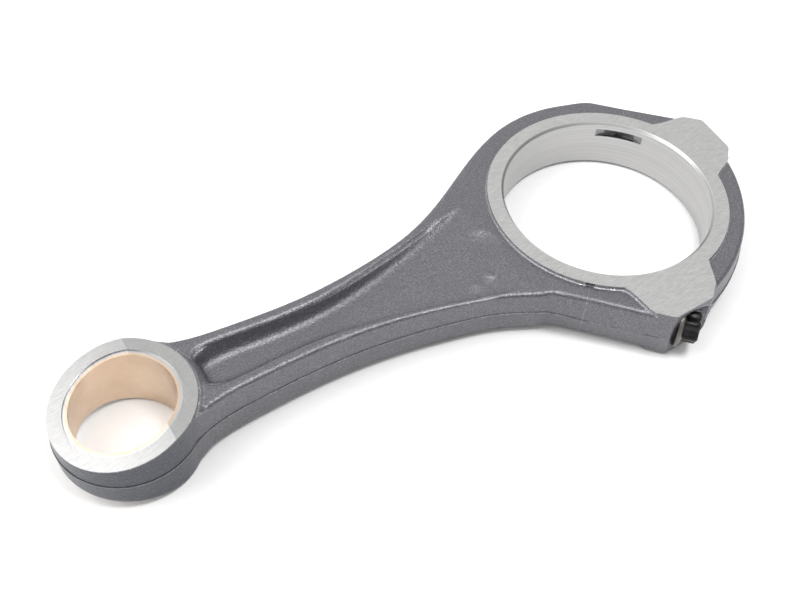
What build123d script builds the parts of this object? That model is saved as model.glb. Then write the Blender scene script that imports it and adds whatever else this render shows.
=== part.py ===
from build123d import *
import math
import os

# Connecting rod for a small high-speed diesel engine, millimetres, +Z up.
# The origin is the centre of the crank bore, half way through its width.
# Both bores run along +Z.  The small end sits at -X.
# The big end is split by a plane at 45 degrees, so the bolts run along (1, -1, 0).

CENTRE_DISTANCE = 165.0
CRANK_BORE_R = 33.5
THRUST_FACE_R = 38.8
THRUST_FACE_Z = 9.0
BIG_END_SKIN_Z = 7.8
BORE_CHAMFER = 0.8

HUB_R = 20.9
HUB_Z = 11.25
HUB_TAPER_START = 7.7
HUB_TAPER_SLOPE = 0.19
HUB_DRAFT = 2.0
EYE_BORE_R = 16.5
BUSH_RECESS = 0.45
LINING_OUTER_R = 15.7
PIN_BORE_R = 15.0

SKIN_BEND_X = -50.0
SKIN_SLOPE = 0.019
OUTLINE_TOP_Z = 10.2
SKIN_EDGE_R = 1.3

POCKET_DRAFT = 27.0
POCKET_FLOOR_Z = 4.2
POCKET_FLOOR_R = 2.2
POCKET_RAMP_START = -96.0
POCKET_END = -40.0
POCKET_LIP_R = 1.8

BOLT_OFFSET = 39.5
SEAT_DISTANCE = 28.0
SEAT_R = 7.6
CAP_HOLE_R = 4.6
THREAD_HOLE_R = 4.5
THREAD_HOLE_DEPTH = 15.5
BOLT_PILOT_R = 4.54
BOLT_WAIST_R = 4.05
BOLT_THREAD_R = 4.44
BOLT_THREAD_END = 13.5
BOLT_FLANGE_R = 6.9
BOLT_HEAD_R = 5.15
BOLT_HEAD_END = 34.6

SLOT_HALF_LENGTH = 8.0
SLOT_CUTTER_R = 14.0
SLOT_Z = 4.9
SLOT_WIDTH = 3.0

ROOT2 = math.sqrt(2)


def split_point(side, out):
    """A plan point given along the split line and out towards the cap."""
    return ((side + out) / ROOT2, (side - out) / ROOT2)


def circle_point(radius, degrees):
    """A plan point on a circle round the crank bore."""
    angle = math.radians(degrees)
    return (radius * math.cos(angle), radius * math.sin(angle))


def forging_face(spread):
    """Plan outline of the forging: spread 0 at the top of the draft, 1 at the flash line."""
    rod_flank = 43.7 + 2.5 * spread
    cap_flank = 44.5 + 2.0 * spread
    corner_out = 26.6 - 0.6 * spread
    lobe_side = 33.6 + 1.0 * spread
    lobe_out = 36.3 + 1.0 * spread
    band_side = 29.0 + 0.7 * spread
    band_out = 43.8 + 1.0 * spread
    round_r = 45.3 + 0.5 * spread
    grow = 0.5 * spread
    hub_join = -CENTRE_DISTANCE + 12.0

    round_start = circle_point(round_r, 73.0)
    round_end = circle_point(round_r, 109.5)
    far_shank = [
        round_end,
        (-42.0, 28.5 + grow),
        (-62.0, 18.1 + grow),
        (-85.0, 12.2 + grow),
        (-108.0, 9.9 + grow),
        (-130.0, 10.6 + grow),
        (-145.0, 12.7 + grow),
        (hub_join, 16.5 + grow),
    ]
    near_shank = [
        (hub_join, -16.5 - grow),
        (-145.0, -12.7 - grow),
        (-130.0, -10.6 - grow),
        (-108.0, -9.8 - grow),
        (-85.0, -11.3 - grow),
        (-62.0, -15.6 - grow),
        (-50.0, -19.4 - 1.4 * grow),
        (-41.0, -23.4 - 2.6 * grow),
        split_point(-rod_flank, -2.0),
    ]
    with BuildSketch() as sketch:
        with BuildLine():
            Line(split_point(rod_flank, 0), split_point(rod_flank, -11.0))
            Spline(
                [split_point(rod_flank, -11.0), round_start],
                tangents=[(-1, 1), (-math.sin(math.radians(73.0)), math.cos(math.radians(73.0)))],
            )
            CenterArc((0, 0), round_r, 73.0, 36.5)
            Spline(far_shank, tangents=[(-0.9426, -0.3338), (-0.8, 0.6)])
            Line(far_shank[-1], near_shank[0])
            Spline(near_shank, tangents=[(0.8, 0.6), (1, -1)])
            Line(split_point(-rod_flank, -2.0), split_point(-rod_flank, 0))
            Line(split_point(-rod_flank, 0), split_point(-cap_flank, corner_out))
            Line(
                split_point(-cap_flank, corner_out),
                split_point(-lobe_side, lobe_out),
            )
            Line(split_point(-lobe_side, lobe_out), split_point(-band_side, lobe_out))
            ThreePointArc(
                split_point(-band_side, lobe_out),
                split_point(0, band_out),
                split_point(band_side, lobe_out),
            )
            Line(split_point(band_side, lobe_out), split_point(lobe_side, lobe_out))
            Line(
                split_point(lobe_side, lobe_out),
                split_point(cap_flank, corner_out),
            )
            Line(
                split_point(cap_flank, corner_out),
                split_point(rod_flank, 0),
            )
        make_face()
        corners = [
            (split_point(side * lobe_side, lobe_out), 2.5) for side in (-1, 1)
        ] + [
            (split_point(side * cap_flank, corner_out), 1.6) for side in (-1, 1)
        ]
        for place, radius in corners:
            nearest = sketch.vertices().sort_by_distance((place[0], place[1], 0))[0]
            fillet(nearest, radius)
    return sketch.sketch.faces()[0]


def drafted_half():
    """Upper half of the big end and shank, tall, with draft from the flash line up."""
    low = forging_face(1.0)
    high = forging_face(0.0).moved(Location((0, 0, OUTLINE_TOP_Z)))
    return loft([low, high], ruled=True)


def skin_envelope():
    """Everything below the as-forged top skin, seen from the side."""
    rise = SKIN_SLOPE * (SKIN_BEND_X + 180.0)
    with BuildSketch(Plane.XZ) as side:
        with BuildLine():
            Polyline(
                (60.0, 0), (60.0, BIG_END_SKIN_Z), (SKIN_BEND_X, BIG_END_SKIN_Z),
                (-180.0, BIG_END_SKIN_Z + rise), (-180.0, 0), close=True,
            )
        make_face()
    return extrude(side.sketch, amount=80, both=True)


def lobe_region(side):
    """Plan region of one machined lobe over a bolt, carried out past the flank."""

    def places(*points):
        return [split_point(side * along, out) for along, out in points]

    rod_edge = places((37.0, 7.0), (39.4, 13.4), (43.4, 18.3), (45.4, 24.5))
    outside = places((50.0, 28.0), (50.0, 38.0))
    cap_edge = places((34.5, 36.0), (28.9, 36.8), (24.2, 35.5), (20.6, 34.2), (15.5, 33.6))
    with BuildSketch() as sketch:
        with BuildLine():
            Spline(rod_edge)
            Polyline(rod_edge[-1], *outside, cap_edge[0])
            Spline(cap_edge)
            Line(cap_edge[-1], rod_edge[0])
        make_face()
    return sketch.sketch


def hub_envelope(lower_by=0.0):
    """Side view of the small end: parallel next to the shank, narrower to the tip."""
    bend_x = -CENTRE_DISTANCE + HUB_TAPER_START
    tip_x = -CENTRE_DISTANCE - 30.0
    high = HUB_Z - lower_by
    tip = high - HUB_TAPER_SLOPE * (bend_x - tip_x)
    with BuildSketch(Plane.XZ) as side:
        with BuildLine():
            Polyline(
                (-120.0, -high), (-120.0, high), (bend_x, high), (tip_x, tip),
                (tip_x, -tip), (bend_x, -high), close=True,
            )
        make_face()
    return extrude(side.sketch, amount=40, both=True)


def hub_solid():
    """Forged eye of the small end, drafted both ways from the flash line."""
    centre = Location((-CENTRE_DISTANCE, 0, 0))
    disc = Circle(HUB_R).face()
    up = extrude(disc, amount=HUB_Z + 1, taper=HUB_DRAFT)
    both = up + mirror(up, about=Plane.XY)
    return both.moved(centre) & hub_envelope()


def pocket_face(inset, height):
    """Plan outline of the hollow at one height, drawn in from its widest by the inset."""
    far_side = [
        (-137.0, 7.4 - inset),
        (-120.0, 6.5 - inset),
        (-103.0, 6.7 - inset),
        (-86.0, 9.4 - inset),
        (-64.0, 14.5 - inset),
        (POCKET_END, 21.5 - inset),
    ]
    near_side = [(x, -y) for x, y in reversed(far_side)]
    scoop = [near_side[-1], (-143.2 + inset, 0), far_side[0]]
    with BuildSketch(Plane.XY.offset(height)) as sketch:
        with BuildLine():
            Spline(far_side, tangents=[(1, -0.02), (1, 0.3)])
            Line(far_side[-1], near_side[0])
            Spline(near_side, tangents=[(-1, 0.3), (-1, -0.02)])
            Spline(scoop, tangents=[(-1, -0.02), (1, -0.02)])
        make_face()
    return sketch.sketch.faces()[0]


def pocket_lip():
    """The rounded run-out where the hollow meets the skin, following its slope."""
    turn = 90.0 - POCKET_DRAFT
    reach = POCKET_LIP_R * math.tan(math.radians(turn / 2))
    skin_plane = Plane(
        origin=(0, 0, BIG_END_SKIN_Z + SKIN_SLOPE * SKIN_BEND_X),
        x_dir=(1, 0, -SKIN_SLOPE),
        z_dir=(SKIN_SLOPE, 0, 1),
    )

    def section(inset, drop):
        flat = pocket_face(inset, 0)
        return skin_plane.offset(-drop) * flat

    sections = [section(-reach - 1.5, -0.5)]
    for part in range(4):
        angle = math.radians(turn * part / 3)
        inset = -reach + POCKET_LIP_R * math.sin(angle)
        sections.append(section(inset, POCKET_LIP_R * (1 - math.cos(angle))))
    with BuildSketch(Plane.XZ) as side:
        with BuildLine():
            Polyline(
                (-160.0, 3.0), (-60.0, 7.0), (-52.0, 7.9), (POCKET_END, 8.4),
                (POCKET_END, 14.0), (-160.0, 14.0), close=True,
            )
        make_face()
    return loft(sections, ruled=True) & extrude(side.sketch, amount=40, both=True)


def pocket_cutter():
    """Cutter for the hollow of the I-section: level floor, then a ramp up to the big end."""
    lean = math.tan(math.radians(POCKET_DRAFT))
    walls = loft([pocket_face(-2.0 * lean, 11.0), pocket_face(7.0 * lean, 2.0)], ruled=True)
    start = (POCKET_RAMP_START, POCKET_FLOOR_Z)
    with BuildSketch(Plane.XZ) as side:
        with BuildLine():
            Line((-160.0, POCKET_FLOOR_Z), start)
            ramp = Spline(
                start, (-75.0, 4.9), (-60.0, 5.9), (-50.0, 6.9), (POCKET_END, 8.5),
                tangents=[(1, 0), (1, 0.18)],
            )
            Line(ramp @ 1, (POCKET_END, 12.0))
            Line((POCKET_END, 12.0), (-160.0, 12.0))
            Line((-160.0, 12.0), (-160.0, POCKET_FLOOR_Z))
        make_face()
    tool = walls & extrude(side.sketch, amount=40, both=True)

    def runs_along_floor(edge):
        ends = [edge @ 0, edge @ 0.5, edge @ 1]
        spread = max(point.X for point in ends) - min(point.X for point in ends)
        return spread > 0.02 and max(point.Z for point in ends) < THRUST_FACE_Z

    return fillet(tool.edges().filter_by(runs_along_floor), POCKET_FLOOR_R)


def web_dish():
    """Shallow scoop in the web just short of the crank bore ring."""
    radius = 22.0
    depth = 1.3
    return Sphere(radius).moved(Location((-48.5, 2.0, BIG_END_SKIN_Z + radius - depth)))


def forging_bumps():
    """Two low round marks left by the forging die on the web."""
    bumps = Sphere(3.2).moved(Location((-56.5, -9.8, 3.6)))
    return bumps + Sphere(3.6).moved(Location((-50.8, -8.8, 3.8)))


def whole_forging():
    """Rod and cap as one forging, machined faces included, before the bores are cut."""
    half = drafted_half()
    skin = half & skin_envelope()
    rim = skin.edges().filter_by(lambda edge: edge.center().Z > 7.0)
    rim = rim.filter_by(lambda edge: abs(edge.center().Y) > 1.5 or edge.center().X > 10)
    skin = fillet(rim, SKIN_EDGE_R)
    skin -= pocket_cutter()
    skin -= pocket_lip()
    skin -= web_dish()
    skin += forging_bumps()
    machined = Box(240, 240, 2 * THRUST_FACE_Z)
    lobes = [half & extrude(lobe_region(side), amount=20) & machined for side in (-1, 1)]
    upper = skin + lobes + hub_flare(half)
    forging = upper + mirror(upper, about=Plane.XY)
    forging += Cylinder(THRUST_FACE_R, 2 * THRUST_FACE_Z)
    forging += hub_solid()
    return forging


def hub_flare(half):
    """Sloping run-out from the shank top to the wall of the small end."""
    cone = Cone(HUB_R + 2.8, HUB_R - 0.6, 2.4).moved(Location((-CENTRE_DISTANCE, 0, 9.6)))
    eye = Cylinder(HUB_R - 1.5, 20).moved(Location((-CENTRE_DISTANCE, 0, 9.0)))
    return (half & cone) - eye


def bored(forging):
    """Cut the crank bore, the small-end eye and their chamfers."""
    eye = Location((-CENTRE_DISTANCE, 0, 0))
    forging -= Cylinder(CRANK_BORE_R, 40)
    for way in (1, -1):
        edge_z = way * (THRUST_FACE_Z - BORE_CHAMFER)
        wide = CRANK_BORE_R + BORE_CHAMFER + 0.5
        cone = Cone(CRANK_BORE_R, wide, BORE_CHAMFER + 0.5)
        cone = cone.moved(Location((0, 0, THRUST_FACE_Z - BORE_CHAMFER + (BORE_CHAMFER + 0.5) / 2)))
        forging -= cone if way > 0 else mirror(cone, about=Plane.XY)
    forging -= Cylinder(EYE_BORE_R, 40).moved(eye)
    return forging


def bolt_frame(side, out=0.0):
    """A placement on a bolt axis with its own +Z pointing out through the cap."""
    x, y = split_point(side * BOLT_OFFSET, out)
    return Plane(origin=(x, y, 0), x_dir=(1, 1, 0), z_dir=(1, -1, 0))


def up_cylinder(radius, start, end):
    """A cylinder along +Z between two heights."""
    return Cylinder(radius, end - start).moved(Location((0, 0, (start + end) / 2)))


def bolt_holes():
    """Clearance hole, spot face and blind threaded hole for both bolts."""
    hole = up_cylinder(CAP_HOLE_R, 0, 60)
    hole += up_cylinder(SEAT_R, SEAT_DISTANCE, 60)
    hole += up_cylinder(THREAD_HOLE_R, -THREAD_HOLE_DEPTH, 0)
    tip = Cone(THREAD_HOLE_R * 0.1, THREAD_HOLE_R, 1.6)
    hole += tip.moved(Location((0, 0, -THREAD_HOLE_DEPTH - 0.8)))
    return [bolt_frame(side) * hole for side in (-1, 1)]


def tang_slot():
    """Milled slot in the crank bore for the shell tang, centred on the split line."""
    reach = math.sqrt(CRANK_BORE_R ** 2 - SLOT_HALF_LENGTH ** 2)
    cutter_x = reach - math.sqrt(SLOT_CUTTER_R ** 2 - SLOT_HALF_LENGTH ** 2)
    x, y = split_point(cutter_x, 0)
    return Cylinder(SLOT_CUTTER_R, SLOT_WIDTH).moved(Location((x, y, SLOT_Z)))


def cap_side():
    """The half space on the cap side of the split plane."""
    block = Box(300, 300, 80)
    return Plane(origin=(0, 0, 0), x_dir=(1, 1, 0), z_dir=(0, 0, 1)) * block.moved(
        Location((0, -150, 0))
    )


def cap_bolt(side):
    """Stretch bolt: pilot by the split, thinner waist, thread, flange and six-lobe head."""
    bolt = up_cylinder(BOLT_WAIST_R, -2.0, SEAT_DISTANCE)
    bolt += up_cylinder(BOLT_PILOT_R, 2.0, 8.0)
    thread = up_cylinder(BOLT_THREAD_R, -BOLT_THREAD_END, 0.0)
    bolt += chamfer(thread.edges(), 0.6)
    bolt += up_cylinder(BOLT_WAIST_R + 0.3, SEAT_DISTANCE - 3.0, SEAT_DISTANCE)
    flange = up_cylinder(BOLT_FLANGE_R, SEAT_DISTANCE, SEAT_DISTANCE + 1.7)
    bolt += chamfer(flange.edges().sort_by(Axis.Z)[-1:], 0.9)
    head = up_cylinder(BOLT_HEAD_R, SEAT_DISTANCE + 1.0, BOLT_HEAD_END)
    head = chamfer(head.edges().sort_by(Axis.Z)[-1:], 0.7)
    for index in range(6):
        angle = math.radians(60 * index + 30)
        flute_x = 5.75 * math.cos(angle)
        flute_y = 5.75 * math.sin(angle)
        flute = up_cylinder(1.55, SEAT_DISTANCE + 1.7, BOLT_HEAD_END + 1)
        head -= flute.moved(Location((flute_x, flute_y, 0)))
    bolt += head
    bolt -= Cone(0.8, 2.6, 0.8).moved(Location((0, 0, BOLT_HEAD_END - 0.4)))
    return bolt_frame(side) * bolt


def bush_ring(outer, inner):
    """One layer of the small-end bush, cut to the tapered sides and set back from them."""
    ring = Cylinder(outer, 40) - Cylinder(inner, 42)
    return ring.moved(Location((-CENTRE_DISTANCE, 0, 0))) & hub_envelope(BUSH_RECESS)


def make_parts():
    """Every sub-part by its node name."""
    forging = bored(whole_forging())
    for hole in bolt_holes():
        forging -= hole
    forging -= tang_slot()
    cap = forging & cap_side()
    rod = forging - cap_side()
    return {
        "rod_body": rod,
        "rod_cap": cap,
        "cap_bolt_near": cap_bolt(-1),
        "cap_bolt_far": cap_bolt(1),
        "bush_backing": bush_ring(EYE_BORE_R, LINING_OUTER_R),
        "bush_lining": bush_ring(LINING_OUTER_R, PIN_BORE_R),
    }


if __name__ == "__main__":
    os.makedirs("parts", exist_ok=True)
    for name, shape in make_parts().items():
        export_step(shape, f"parts/{name}.step")
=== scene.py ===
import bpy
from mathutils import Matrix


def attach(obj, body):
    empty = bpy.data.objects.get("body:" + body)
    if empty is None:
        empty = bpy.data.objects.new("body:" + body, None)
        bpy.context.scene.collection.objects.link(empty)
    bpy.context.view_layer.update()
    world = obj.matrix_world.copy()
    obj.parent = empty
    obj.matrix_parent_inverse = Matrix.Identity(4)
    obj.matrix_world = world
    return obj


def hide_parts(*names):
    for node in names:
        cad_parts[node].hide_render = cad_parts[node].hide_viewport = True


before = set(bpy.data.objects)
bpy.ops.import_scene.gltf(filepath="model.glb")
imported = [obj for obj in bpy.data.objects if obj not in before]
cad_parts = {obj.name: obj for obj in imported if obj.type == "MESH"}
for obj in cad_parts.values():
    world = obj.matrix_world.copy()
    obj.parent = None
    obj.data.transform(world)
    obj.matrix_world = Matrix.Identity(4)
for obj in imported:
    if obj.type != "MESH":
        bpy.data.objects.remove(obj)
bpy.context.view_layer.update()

import math
from types import SimpleNamespace

import bmesh
import bpy
from mathutils import Matrix, Vector, noise
from mathutils.bvhtree import BVHTree

# A loose connecting rod lying on a pale floor.  Metres, in the frame of the CAD model.
MM = 0.001
SPLIT_WAY = Vector((1, -1, 0)).normalized()
ALONG_SPLIT = Vector((1, 1, 0)).normalized()

# Sizes of the CAD part that the finishes and the added pieces are placed by.
THRUST_Z = 9 * MM
SKIN_Z = 7.8 * MM
BORE_R = 33.5 * MM
HUB_X = -165 * MM
HUB_R = 20.9 * MM
HUB_HALF = 11.25 * MM
HUB_TAPER_X = -157.3 * MM
HUB_SLOPE = 0.19
EYE_R = 16.5 * MM
CHAMFER = 0.8 * MM
BOLT_OFFSET = 39.5 * MM
CAP_HOLE_R = 4.6 * MM
THREAD_HOLE_END = 15.5 * MM
SEAT = 28 * MM
SEAT_R = 7.6 * MM
SLOT_Z = 4.9 * MM
SLOT_HALF = 1.5 * MM

# Limits of the finishes.  The big end's lie past BIG_END_X, and the slot's shade reaches
# a little past its floor, on its own side of the bore.
BIG_END_X = -60 * MM
SLOT_SHADE_DEPTH = 1.7 * MM
SLOT_SHADE_START = 21 * MM

# The ridge of trimmed flash round the forging.
FLASH_STAND = 0.16 * MM
FLASH_HALF = 0.6 * MM
FLASH_ROOT = 0.3 * MM
FLASH_GAP = 0.7 * MM
SHORTEST_FLASH = 3 * MM

# The cap bolts.
THREAD_PITCH = 1.25 * MM
THREAD_DEPTH = 0.62 * MM
THREAD_END = 13.5 * MM
THREAD_ROW = 0.125 * MM
THREAD_START_ROWS = 5
THREAD_FADE_ROWS = 8
BOLT_THREAD_R = 4.44 * MM
BOLT_WAIST_R = 4.05 * MM
BOLT_PILOT_R = 4.54 * MM
FLANGE_R = 6.9 * MM
HEAD_R = 5.15 * MM
LOBE_DEPTH = 0.5 * MM
HEAD_END = 34.6 * MM
SEAT_GAP = 0.01 * MM
BOLT_AROUND = 96

# The sheet lies FLOOR_GAP under the small end's face at SHEET_X, and as far under the
# lobes' face a REST_SPAN further on.
SHEET_X = -144 * MM
REST_SPAN = 193 * MM
FLOOR_GAP = 0.02 * MM

WHITE = (1, 1, 1, 1)
DARK_SLATE = (0.06, 0.066, 0.078, 1)
FLASH_DARK = (0.035, 0.035, 0.038, 1)
# White of the painted glints on the forging skin.
PAINTED_GLINT_WHITE = (0.8, 0.8, 0.8, 1)
BROKEN_GREY = (0.3, 0.3, 0.3, 1)
SLOT_SHADE = (0.05, 0.05, 0.05, 1)


class Graph:
    """A small wrapper round one material's node tree."""

    def __init__(self, name):
        self.material = bpy.data.materials.new(name)
        self.material.use_nodes = True
        self.tree = self.material.node_tree
        self.tree.nodes.clear()

    def node(self, kind, inputs=None, **settings):
        made = self.tree.nodes.new(kind)
        for key, value in settings.items():
            setattr(made, key, value)
        for key, value in (inputs or {}).items():
            self.feed(made.inputs[key], value)
        return made

    def feed(self, socket, value):
        if isinstance(value, bpy.types.NodeSocket):
            self.tree.links.new(value, socket)
        else:
            socket.default_value = value

    def math(self, operation, first, second=0.0, clamp=False):
        made = self.node("ShaderNodeMath", operation=operation, use_clamp=clamp)
        self.feed(made.inputs[0], first)
        self.feed(made.inputs[1], second)
        return made.outputs[0]

    def step(self, value, low, high):
        """0 below low, 1 above high, smooth between; low above high turns it round."""
        made = self.node("ShaderNodeMapRange", interpolation_type="SMOOTHSTEP")
        for index, number in enumerate((value, low, high, 0.0, 1.0)):
            self.feed(made.inputs[index], number)
        return made.outputs[0]

    def below(self, value, limit, blend):
        """1 up to the limit, fading to 0 over the blend beyond it."""
        return self.step(value, limit + blend, limit)

    def above(self, value, limit, blend):
        """1 from the limit up, fading to 0 over the blend under it."""
        return self.step(value, limit - blend, limit)

    def gap(self, value, place):
        return self.math("ABSOLUTE", self.math("SUBTRACT", value, place))

    def times(self, first, second):
        return self.math("MULTIPLY", first, second)

    def length(self, first, second):
        squares = self.math("ADD", self.times(first, first), self.times(second, second))
        return self.math("SQRT", squares)

    def either(self, *masks):
        total = masks[0]
        for mask in masks[1:]:
            total = self.math("MAXIMUM", total, mask)
        return total

    def both(self, *masks):
        total = masks[0]
        for mask in masks[1:]:
            total = self.times(total, mask)
        return total

    def opposite(self, mask):
        return self.math("SUBTRACT", 1.0, mask, clamp=True)

    def noise(self, vector, scale, detail, roughness):
        made = self.node(
            "ShaderNodeTexNoise",
            {"Vector": vector, "Scale": scale, "Detail": detail, "Roughness": roughness},
        )
        return made.outputs["Fac"]

    def ramp(self, value, *stops):
        made = self.node("ShaderNodeValToRGB", {"Fac": value})
        elements = made.color_ramp.elements
        while len(elements) < len(stops):
            elements.new(0.5)
        for element, (place, colour) in zip(elements, stops):
            element.position = place
            element.color = (*colour, 1.0)
        return made.outputs["Color"]

    def mix_colour(self, factor, first, second):
        made = self.node("ShaderNodeMix", data_type="RGBA")
        self.feed(made.inputs["Factor"], factor)
        self.feed(made.inputs[6], first)
        self.feed(made.inputs[7], second)
        return made.outputs[2]

    def mix_value(self, factor, first, second):
        made = self.node("ShaderNodeMix", data_type="FLOAT")
        self.feed(made.inputs[0], factor)
        self.feed(made.inputs[2], first)
        self.feed(made.inputs[3], second)
        return made.outputs[0]

    def mix_vector(self, factor, first, second):
        made = self.node("ShaderNodeMix", data_type="VECTOR")
        self.feed(made.inputs[0], factor)
        self.feed(made.inputs[4], first)
        self.feed(made.inputs[5], second)
        return made.outputs[1]

    def bump(self, height, distance, strength=1.0, normal=None):
        inputs = {"Height": height, "Distance": distance, "Strength": strength}
        if normal is not None:
            inputs["Normal"] = normal
        return self.node("ShaderNodeBump", inputs).outputs["Normal"]

    def output(self, shader):
        self.node("ShaderNodeOutputMaterial", {"Surface": shader})
        return self.material


def grey(level, warm=0.0):
    """A grey of one brightness, tinted towards red by the warm share."""
    return (level * (1 + warm), level, level * (1 - warm))


def cool_grey(level):
    """The slightly blue grey of shot-blasted steel."""
    return (level, level * 0.985, level * 1.07)


def steel_regions(g, place):
    """Masks for each kind of surface on the rod and the cap, by where it lies."""
    split = g.node("ShaderNodeSeparateXYZ", {"Vector": place})
    x, y, z = split.outputs[0], split.outputs[1], split.outputs[2]
    high = g.math("ABSOLUTE", z)
    from_crank = g.length(x, y)
    from_hub = g.length(g.math("SUBTRACT", x, HUB_X), y)
    out = g.times(g.math("SUBTRACT", x, y), 1 / math.sqrt(2))
    across = g.times(g.math("ADD", x, y), 1 / math.sqrt(2))
    from_bolt = g.length(g.math("SUBTRACT", g.math("ABSOLUTE", across), BOLT_OFFSET), z)
    tapered = g.math("MAXIMUM", g.math("SUBTRACT", HUB_TAPER_X, x), 0.0)
    hub_top = g.math("SUBTRACT", HUB_HALF, g.times(tapered, HUB_SLOPE))

    at = SimpleNamespace(place=place, z=z, high=high, from_crank=from_crank, out=out)
    thrust = g.both(
        g.above(x, BIG_END_X + 0.1 * MM, 0.2 * MM),
        g.above(high, THRUST_Z - 0.04 * MM, 0.04 * MM),
    )
    at.crank_bore = g.below(from_crank, BORE_R + CHAMFER + 0.1 * MM, 0.1 * MM)
    hub_side = g.both(
        g.below(from_hub, HUB_R + 0.4 * MM, 0.1 * MM),
        g.below(g.math("SUBTRACT", hub_top, high), 0.07 * MM, 0.05 * MM),
    )
    at.eye = g.below(from_hub, EYE_R + 1 * MM, 0.1 * MM)
    seat = g.both(
        g.below(g.gap(out, SEAT), 0.04 * MM, 0.02 * MM),
        g.below(from_bolt, SEAT_R + 0.05 * MM, 0.05 * MM),
    )
    hole = g.both(
        g.below(from_bolt, CAP_HOLE_R + 0.1 * MM, 0.05 * MM),
        g.below(out, SEAT - 1.1 * MM, 0.1 * MM),
        g.above(out, -THREAD_HOLE_END - 0.1 * MM, 0.05 * MM),
        g.below(high, CAP_HOLE_R + 0.1 * MM, 0.1 * MM),
    )
    at.threads = g.both(hole, g.below(out, -0.1 * MM, 0.1 * MM))
    at.machined = g.either(thrust, at.crank_bore, hub_side, at.eye, seat, hole)
    at.slot = g.both(
        g.above(from_crank, BORE_R + 0.06 * MM, 0.04 * MM),
        g.below(from_crank, BORE_R + SLOT_SHADE_DEPTH, 0.1 * MM),
        g.below(g.gap(z, SLOT_Z), SLOT_HALF + 0.02 * MM, 0.03 * MM),
        g.above(across, SLOT_SHADE_START, 1 * MM),
    )
    from_split = g.math("ABSOLUTE", out)
    at_big_end = g.above(x, BIG_END_X + 1 * MM, 1 * MM)
    at.near_split = g.both(g.below(from_split, 1.2 * MM, 0.3 * MM), at_big_end)
    at.broken = g.both(
        g.below(from_split, 0.02 * MM, 0.02 * MM),
        at_big_end,
        g.opposite(g.either(thrust, at.crank_bore)),
    )
    # Painted shade: the hub's machined faces darken towards the shank, standing in for their dimmer
    # reflection there.
    at.lapped = g.both(hub_side, g.above(x, HUB_X + 13 * MM, 26 * MM))
    at.hub_wall = g.both(
        g.above(from_hub, HUB_R - 0.9 * MM, 0.5 * MM),
        g.below(x, HUB_X + 9 * MM, 10 * MM),
        g.opposite(hub_side),
    )
    return at


def forging_skin(g, at):
    """Colour, roughness and normal of the shot-blasted skin.

    Corners are softened most in the hollow and least along the split.
    """
    flat_normal = g.node("ShaderNodeNewGeometry").outputs["Normal"]
    tilt = g.node("ShaderNodeSeparateXYZ", {"Vector": flat_normal}).outputs[2]
    hollow = g.both(
        g.above(g.math("ABSOLUTE", tilt), 0.42, 0.09), g.below(at.high, SKIN_Z - MM, 0.4 * MM)
    )
    rounding = g.mix_value(hollow, 1.4 * MM, 3.6 * MM)
    rounding = g.mix_value(at.near_split, rounding, 0.25 * MM)
    soft = g.node("ShaderNodeBevel", {"Radius": rounding}, samples=8).outputs["Normal"]
    bend = g.node("ShaderNodeVectorMath", {0: soft, 1: flat_normal}, operation="DOT_PRODUCT")
    # Painted highlight: a mask of the rounded corners, whose colour is lightened below.
    edge = g.both(g.step(bend.outputs["Value"], 0.995, 0.93), g.opposite(hollow))

    grain = g.noise(at.place, 1900, 3.0, 0.75)
    pits = g.noise(at.place, 900, 2.0, 0.65)
    patches = g.step(g.noise(at.place, 90, 4.0, 0.6), 0.3, 0.75)
    gaps = g.step(g.noise(at.place, 420, 2.0, 0.5), 0.42, 0.58)
    glint = g.step(g.noise(at.place, 2400, 1.0, 0.5), 0.6, 0.72)
    flash = g.both(g.below(at.high, 0.2 * MM, 0.3 * MM), gaps)
    # Painted highlight: white glint specks, few on the flats and many along the edges.
    painted_glints = g.both(glint, g.math("ADD", 0.1, g.times(edge, 0.8)))

    skin = g.ramp(grain, (0.3, cool_grey(0.1)), (0.5, cool_grey(0.155)), (0.7, cool_grey(0.24)))
    skin = g.mix_colour(g.times(patches, 0.3), skin, (*cool_grey(0.13), 1))
    skin = g.mix_colour(g.times(at.hub_wall, 0.85), skin, DARK_SLATE)
    skin = g.mix_colour(g.times(flash, 0.6), skin, FLASH_DARK)
    # Painted highlight: the rounded edges are lightened towards a pale grey.
    skin = g.mix_colour(g.times(edge, 0.5), skin, (*cool_grey(0.42), 1))
    # Painted highlight: the glints are put into the skin's colour.
    skin = g.mix_colour(painted_glints, skin, PAINTED_GLINT_WHITE)
    rough = g.mix_value(g.either(painted_glints, at.hub_wall), 0.35, 0.28)
    relief = g.math("ADD", g.times(grain, 0.25), g.times(pits, 0.55))
    return skin, rough, g.bump(relief, 0.3 * MM, 1.0, soft)


def cut_metal(g, at):
    """Colour, roughness and normal of ground faces and of bores with fine cutter rings."""
    stretched = g.node(
        "ShaderNodeMapping",
        {"Vector": at.place, "Rotation": (0, 0, 0.9), "Scale": (60, 900, 60)},
    ).outputs["Vector"]
    scratches = g.noise(stretched, 6.0, 4.0, 0.65)
    ring_place = g.node("ShaderNodeCombineXYZ", {0: at.from_crank, 2: at.z}).outputs[0]
    turned = g.noise(ring_place, 5200, 2.0, 0.6)
    marks = g.mix_value(g.either(at.crank_bore, at.eye), scratches, turned)
    bright = g.ramp(
        marks, (0.3, grey(0.38, 0.008)), (0.55, grey(0.5, 0.008)), (0.75, grey(0.64, 0.005))
    )
    # Painted shade on the hub faces, darker towards the shank.
    bright = g.mix_colour(g.times(at.lapped, 0.5), bright, (*grey(0.3), 1))
    thread_wave = g.math("SINE", g.times(at.out, 2 * math.pi / THREAD_PITCH))
    normal = g.bump(marks, 0.012 * MM, 0.5)
    normal = g.bump(g.both(at.threads, thread_wave), 0.3 * MM, 1.0, normal)
    return bright, g.mix_value(marks, 0.28, 0.42), normal


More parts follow.
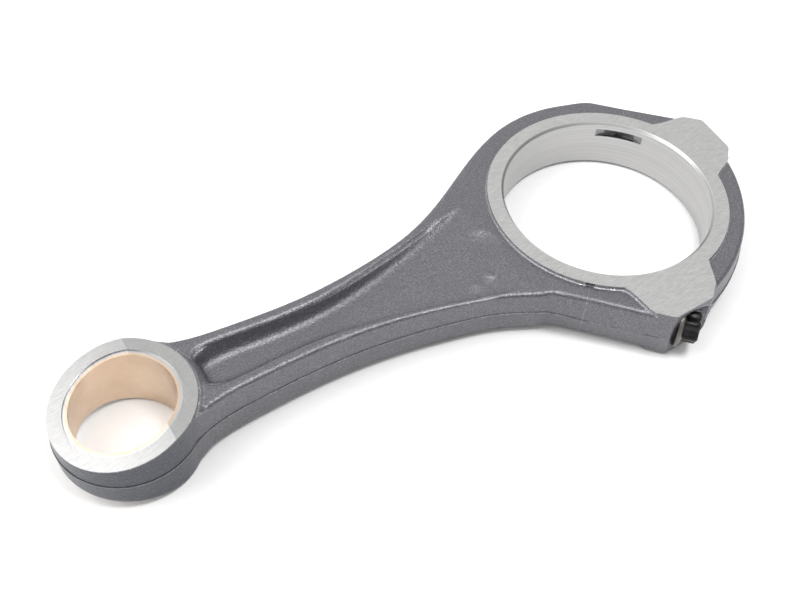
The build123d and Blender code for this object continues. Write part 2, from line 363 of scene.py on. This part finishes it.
def forged_steel():
    """One finish for the rod and the cap: forging skin, and cut metal on machined faces."""
    g = Graph("forged_steel")
    at = steel_regions(g, g.node("ShaderNodeTexCoord").outputs["Object"])
    skin, skin_rough, skin_normal = forging_skin(g, at)
    bright, cut_rough, cut_normal = cut_metal(g, at)
    colour = g.mix_colour(at.machined, skin, bright)
    colour = g.mix_colour(at.broken, colour, BROKEN_GREY)
    colour = g.mix_colour(g.times(at.slot, 0.5), colour, SLOT_SHADE)
    shader = g.node(
        "ShaderNodeBsdfPrincipled",
        {"Base Color": colour, "Roughness": g.mix_value(at.machined, skin_rough, cut_rough),
         "Normal": g.mix_vector(at.machined, skin_normal, cut_normal),
         "Metallic": g.mix_value(at.machined, 0.8, 1.0)},
    )
    return g.output(shader.outputs[0])


def bushing(name, low, middle, top):
    """Bored bush metal with fine rings and soft colour drift."""
    g = Graph(name)
    place = g.node("ShaderNodeTexCoord").outputs["Object"]
    z = g.node("ShaderNodeSeparateXYZ", {"Vector": place}).outputs[2]
    rings = g.noise(g.node("ShaderNodeCombineXYZ", {2: z}).outputs[0], 4200, 3.0, 0.6)
    drift = g.noise(place, 120, 3.0, 0.5)
    mixed = g.mix_value(0.5, rings, drift)
    colour = g.ramp(mixed, (0.3, low), (0.5, middle), (0.7, top))
    shader = g.node(
        "ShaderNodeBsdfPrincipled",
        {"Base Color": colour, "Metallic": 1.0, "Roughness": g.mix_value(rings, 0.22, 0.36),
         "Normal": g.bump(rings, 0.006 * MM, 0.5)},
    )
    return g.output(shader.outputs[0])


def bolt_finish():
    """Dark phosphate on the shank and head, and a paler rubbed flange."""
    g = Graph("bolt_steel")
    place = g.node("ShaderNodeTexCoord").outputs["Object"]
    split = g.node("ShaderNodeSeparateXYZ", {"Vector": place})
    out = g.times(g.math("SUBTRACT", split.outputs[0], split.outputs[1]), 1 / math.sqrt(2))
    grain = g.noise(place, 3000, 3.0, 0.65)
    patch = g.noise(place, 420, 3.0, 0.6)
    mixed = g.mix_value(0.5, grain, patch)
    dark = g.ramp(mixed, (0.3, grey(0.01)), (0.55, grey(0.024)), (0.75, grey(0.06)))
    pale = g.ramp(mixed, (0.3, grey(0.1, 0.06)), (0.55, grey(0.15, 0.06)), (0.75, grey(0.22, 0.06)))
    rim = g.both(g.above(out, SEAT, 0.1 * MM), g.below(out, SEAT + 1.6 * MM, 0.3 * MM))
    soft = g.node("ShaderNodeBevel", {"Radius": 0.3 * MM}, samples=4).outputs["Normal"]
    shader = g.node(
        "ShaderNodeBsdfPrincipled",
        {"Base Color": g.mix_colour(rim, dark, pale), "Metallic": 0.8,
         "Roughness": g.mix_value(patch, 0.24, 0.42),
         "Normal": g.bump(grain, 0.02 * MM, 0.5, soft)},
    )
    return g.output(shader.outputs[0])


def head_radius(angle):
    """The six-lobe outline of the bolt head."""
    return HEAD_R - LOBE_DEPTH + LOBE_DEPTH * math.cos(6 * angle)


def groove_share(out, angle):
    """How deep a single-start thread is cut at one spot: 0 on its crest, 1 at its root."""
    turn = (out / THREAD_PITCH - angle / (2 * math.pi)) % 1.0
    return min(1.0, max(0.0, 2.6 * abs(turn - 0.5) - 0.15))


def thread_rows():
    """The threaded length, with a chamfered start and a thread that fades out."""
    rows = []
    steps = int(THREAD_END / THREAD_ROW)
    for index in range(1, steps):
        out = -THREAD_END + index * THREAD_ROW
        chamfer = (1 - min(1.0, index / THREAD_START_ROWS)) * (THREAD_DEPTH + 0.2 * MM)
        depth = min(1.0, (steps - index) / THREAD_FADE_ROWS) * THREAD_DEPTH

        def radius(angle, out=out, chamfer=chamfer, depth=depth):
            return BOLT_THREAD_R - depth * groove_share(out, angle) - chamfer

        rows.append((out, radius))
    return rows


def round_row(out, reach):
    return (out, lambda angle: reach)


def head_row(out, shrink):
    return (out, lambda angle: head_radius(angle) - shrink)


def bolt_rows():
    """The bolt from tip to head as (distance out, radius for an angle) rows."""
    tip = [
        round_row(-THREAD_END, 0.6 * MM),
        round_row(-THREAD_END, BOLT_THREAD_R - THREAD_DEPTH - 0.2 * MM),
    ]
    shank = [
        round_row(0.2 * MM, BOLT_WAIST_R),
        round_row(1.6 * MM, BOLT_WAIST_R),
        round_row(2.2 * MM, BOLT_PILOT_R),
        round_row(7.8 * MM, BOLT_PILOT_R),
        round_row(8.4 * MM, BOLT_WAIST_R),
        round_row(SEAT - 1.2 * MM, BOLT_WAIST_R),
        round_row(SEAT - 0.4 * MM, BOLT_WAIST_R + 0.25 * MM),
    ]
    flange = [
        round_row(SEAT + SEAT_GAP, BOLT_WAIST_R + 0.5 * MM),
        round_row(SEAT + SEAT_GAP, FLANGE_R - 0.25 * MM),
        round_row(SEAT + 0.2 * MM, FLANGE_R),
        round_row(SEAT + 0.9 * MM, FLANGE_R),
        round_row(SEAT + 1.15 * MM, FLANGE_R - 0.25 * MM),
        round_row(SEAT + 1.8 * MM, HEAD_R + 0.2 * MM),
    ]
    head = [
        head_row(SEAT + 2.1 * MM, 0.05 * MM),
        head_row(SEAT + 2.3 * MM, 0.0),
        head_row(SEAT + 5.9 * MM, 0.0),
        head_row(SEAT + 6.3 * MM, 0.2 * MM),
        head_row(SEAT + 6.55 * MM, 0.6 * MM),
        round_row(HEAD_END, 3.5 * MM),
        round_row(HEAD_END, 2.6 * MM),
        round_row(HEAD_END - 0.7 * MM, 1.0 * MM),
    ]
    return tip + thread_rows() + shank + flange + head


def join_rings(mesh, rings):
    """Quads between rings of vertices, and a cap on the first and last ring."""
    for low, high in zip(rings, rings[1:]):
        for index in range(len(low)):
            after = (index + 1) % len(low)
            mesh.faces.new((low[index], low[after], high[after], high[index]))
    mesh.faces.new(reversed(rings[0]))
    mesh.faces.new(rings[-1])


def smooth_object(name, mesh, sharp_degrees=None):
    """A smooth-shaded object from a finished mesh, with corners kept past an angle."""
    bmesh.ops.recalc_face_normals(mesh, faces=mesh.faces)
    data = bpy.data.meshes.new(name)
    mesh.to_mesh(data)
    mesh.free()
    if sharp_degrees is not None:
        data.set_sharp_from_angle(angle=math.radians(sharp_degrees))
    for face in data.polygons:
        face.use_smooth = True
    made = bpy.data.objects.new(name, data)
    bpy.context.scene.collection.objects.link(made)
    return made


def add_bolt(name, side):
    """A bolt of one closed mesh: threads, pilot, flange and head, in place of the CAD node."""
    mesh = bmesh.new()
    axis_point = ALONG_SPLIT * (side * BOLT_OFFSET)
    rings = []
    for out, radius in bolt_rows():
        ring = []
        for index in range(BOLT_AROUND):
            angle = 2 * math.pi * index / BOLT_AROUND
            reach = radius(angle)
            offset = ALONG_SPLIT * (reach * math.cos(angle))
            offset += Vector((0, 0, reach * math.sin(angle)))
            ring.append(mesh.verts.new(axis_point + SPLIT_WAY * out + offset))
        rings.append(ring)
    join_rings(mesh, rings)
    return smooth_object(name, mesh, sharp_degrees=32)


def add_bolts():
    finish = bolt_finish()
    for side_name, side in (("near", -1), ("far", 1)):
        bolt = add_bolt(f"threaded_bolt_{side_name}", side)
        paint(bolt, finish)
        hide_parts(f"cap_bolt_{side_name}")
        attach(bolt, f"bolt_{side_name}")


def floor_paper():
    """Matt paper with a very faint tooth."""
    g = Graph("floor_paper")
    place = g.node("ShaderNodeTexCoord").outputs["Object"]
    tooth = g.noise(place, 400, 2.0, 0.5)
    colour = g.ramp(tooth, (0.3, grey(0.93)), (0.7, grey(0.95)))
    shader = g.node("ShaderNodeBsdfPrincipled", {"Base Color": colour, "Roughness": 0.8})
    return g.output(shader.outputs[0])


def split_place(point):
    """A plan point as its distances along the split line and out towards the cap."""
    flat = Vector((point.x, point.y, 0))
    return flat.dot(ALONG_SPLIT), flat.dot(SPLIT_WAY)


def on_forged_flank(point):
    """False in the bores, on the split plane, in the bolt holes and on the bolt seats."""
    along, out = split_place(point)
    from_bolt = abs(abs(along) - BOLT_OFFSET)
    if Vector((point.x, point.y)).length < BORE_R + 0.3 * MM:
        return False
    if Vector((point.x - HUB_X, point.y)).length < EYE_R + 0.5 * MM:
        return False
    if from_bolt < CAP_HOLE_R + 0.2 * MM and out > -THREAD_HOLE_END - 2.5 * MM:
        return False
    if from_bolt < SEAT_R + 0.2 * MM and out > SEAT - 0.3 * MM:
        return False
    return abs(out) > 0.05 * MM


def section_chains(node):
    """The flank of a CAD node where the flash plane cuts it, as runs of joined points."""
    cut = bmesh.new()
    cut.from_mesh(node.data)
    made = bmesh.ops.bisect_plane(
        cut, geom=cut.verts[:] + cut.edges[:] + cut.faces[:], plane_co=(0, 0, 0),
        plane_no=(0, 0, 1), dist=1e-7,
    )
    links = {}
    for edge in made["geom_cut"]:
        if not isinstance(edge, bmesh.types.BMEdge):
            continue
        ends = [tuple(round(value, 6) for value in vert.co) for vert in edge.verts]
        if ends[0] == ends[1]:
            continue
        if all(on_forged_flank(Vector(end)) for end in ends):
            links.setdefault(ends[0], set()).add(ends[1])
            links.setdefault(ends[1], set()).add(ends[0])
    chains = []
    unused = set(links)
    while unused:
        tips = [point for point in unused if len(links[point] & unused) <= 1]
        place = min(tips) if tips else min(unused)
        chain = [place]
        unused.discard(place)
        while True:
            onward = sorted(links[place] & unused)
            if not onward:
                break
            place = onward[0]
            unused.discard(place)
            chain.append(place)
        if len(chain) > 1:
            chains.append([Vector(point) for point in chain])
    cut.free()
    return chains


def evenly_spaced(chain, gap):
    """The same run of points with an even gap between them."""
    points = [chain[0]]
    left_over = 0.0
    for start, end in zip(chain, chain[1:]):
        length = (end - start).length
        travelled = gap - left_over
        while travelled <= length:
            points.append(start.lerp(end, travelled / length))
            travelled += gap
        left_over = length - (travelled - gap)
    if (points[-1] - chain[-1]).length > gap * 0.3:
        points.append(chain[-1])
    return points


def chain_length(chain):
    return sum((end - start).length for start, end in zip(chain, chain[1:]))


def flash_ring(mesh, point, outward):
    """The ridge's cross-section at one point, a little ragged in height and width."""
    ragged = noise.noise(point * 900) * 0.5 + noise.noise(point * 300) * 0.5
    stand = FLASH_STAND * (1 + 0.45 * ragged)
    half = FLASH_HALF * (1 + 0.3 * ragged)
    corners = (
        (-FLASH_ROOT, -half), (stand, -half * 0.55), (stand, half * 0.55), (-FLASH_ROOT, half)
    )
    return [
        mesh.verts.new(point + outward * reach + Vector((0, 0, rise))) for reach, rise in corners
    ]


def add_flash_ridge(node_name, body, material):
    """The low ragged ridge that trimming the flash leaves round a drop forging."""
    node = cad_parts[node_name]
    tree = BVHTree.FromObject(node, bpy.context.evaluated_depsgraph_get())
    mesh = bmesh.new()
    for chain in section_chains(node):
        if chain_length(chain) < SHORTEST_FLASH:
            continue
        rings = []
        for point in evenly_spaced(chain, FLASH_GAP):
            normal = tree.find_nearest(point)[1]
            outward = Vector((normal.x, normal.y, 0)).normalized()
            rings.append(flash_ring(mesh, point, outward))
        join_rings(mesh, rings)
    ridge = smooth_object(f"flash_ridge_{body}", mesh)
    paint(ridge, material)
    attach(ridge, body)


def paint(obj, material):
    obj.data.materials.clear()
    obj.data.materials.append(material)


def paint_parts():
    steel = forged_steel()
    finishes = {
        "rod_body": steel,
        "rod_cap": steel,
        "bush_backing": bushing("bush_steel", grey(0.4), grey(0.55), grey(0.68)),
        "bush_lining": bushing(
            "bronze", (0.58, 0.43, 0.31), (0.68, 0.53, 0.4), (0.77, 0.63, 0.5)
        ),
    }
    for name, material in finishes.items():
        paint(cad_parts[name], material)
    add_flash_ridge("rod_body", "rod", steel)
    add_flash_ridge("rod_cap", "cap", steel)


def add_floor():
    """A wide sheet the rod rests on: under the hub at one end and the lobes at the other."""
    tilt = math.atan2(HUB_HALF - THRUST_Z, REST_SPAN)
    bpy.ops.mesh.primitive_plane_add(size=8)
    sheet = bpy.context.object
    sheet.name = "floor_sheet"
    sheet.rotation_euler = (0, -tilt, 0)
    sheet.location = (SHEET_X, 0, -HUB_HALF - FLOOR_GAP)
    paint(sheet, floor_paper())


def add_camera():
    """The view along the rod from above the small end."""
    eye = Vector((-0.1961, -0.1798, 0.2661))
    ahead = Vector((0.3478, 0.5264, -0.7759)).normalized()
    right = Vector((0.8343, -0.5513, 0)).normalized()
    roll = 0.062
    up = right.cross(ahead).normalized()
    rolled_right = right * math.cos(roll) + up * math.sin(roll)
    rolled_up = up * math.cos(roll) - right * math.sin(roll)
    data = bpy.data.cameras.new("camera")
    data.lens = 50.8
    data.sensor_width = 36
    data.clip_start = 0.01
    camera = bpy.data.objects.new("camera", data)
    bpy.context.scene.collection.objects.link(camera)
    turn = Matrix((rolled_right, rolled_up, -ahead)).transposed()
    camera.matrix_world = Matrix.Translation(eye) @ turn.to_4x4()
    bpy.context.scene.camera = camera


def add_area(name, place, target, size, power):
    """A square area light turned towards the target."""
    data = bpy.data.lights.new(name, "AREA")
    data.shape = "RECTANGLE"
    data.size = size
    data.size_y = size
    data.energy = power
    lamp = bpy.data.objects.new(name, data)
    lamp.location = place
    lamp.rotation_euler = (Vector(target) - Vector(place)).to_track_quat("-Z", "Y").to_euler()
    bpy.context.scene.collection.objects.link(lamp)


def add_world():
    """A light tent, dimmer on the camera's side, that the camera sees as plain white."""
    world = bpy.data.worlds.new("studio")
    world.use_nodes = True
    tree = world.node_tree
    tree.nodes.clear()

    def node(kind, **inputs):
        made = tree.nodes.new(kind)
        for key, value in inputs.items():
            made.inputs[key.replace("_", " ")].default_value = value
        return made

    place = node("ShaderNodeTexCoord")
    facing = node("ShaderNodeVectorMath")
    facing.operation = "DOT_PRODUCT"
    facing.inputs[1].default_value = (-0.2, 0.75, 0.63)
    level = node("ShaderNodeMapRange", From_Min=-0.5, From_Max=0.8, To_Min=0.4, To_Max=1.1)
    level.interpolation_type = "SMOOTHSTEP"
    sky = node("ShaderNodeBackground", Color=WHITE)
    backdrop = node("ShaderNodeBackground", Color=WHITE)
    seen = node("ShaderNodeLightPath")
    chosen = node("ShaderNodeMixShader")
    finish = node("ShaderNodeOutputWorld")
    tree.links.new(place.outputs["Generated"], facing.inputs[0])
    tree.links.new(facing.outputs["Value"], level.inputs["Value"])
    tree.links.new(level.outputs["Result"], sky.inputs["Strength"])
    tree.links.new(seen.outputs["Is Camera Ray"], chosen.inputs["Fac"])
    tree.links.new(sky.outputs[0], chosen.inputs[1])
    tree.links.new(backdrop.outputs[0], chosen.inputs[2])
    tree.links.new(chosen.outputs[0], finish.inputs["Surface"])
    bpy.context.scene.world = world


def add_light():
    """A large soft box up to the left and a small one overhead."""
    add_world()
    middle = (-0.08, 0, 0)
    add_area("left_box", (-0.64, 0.25, 0.78), middle, 0.66, 3.6)
    add_area("top_box", (0.055, -0.216, 0.864), middle, 0.24, 3.6)
    bpy.context.scene.view_settings.view_transform = "Standard"
    bpy.context.scene.view_settings.look = "None"


paint_parts()
add_bolts()
add_floor()
add_camera()
add_light()
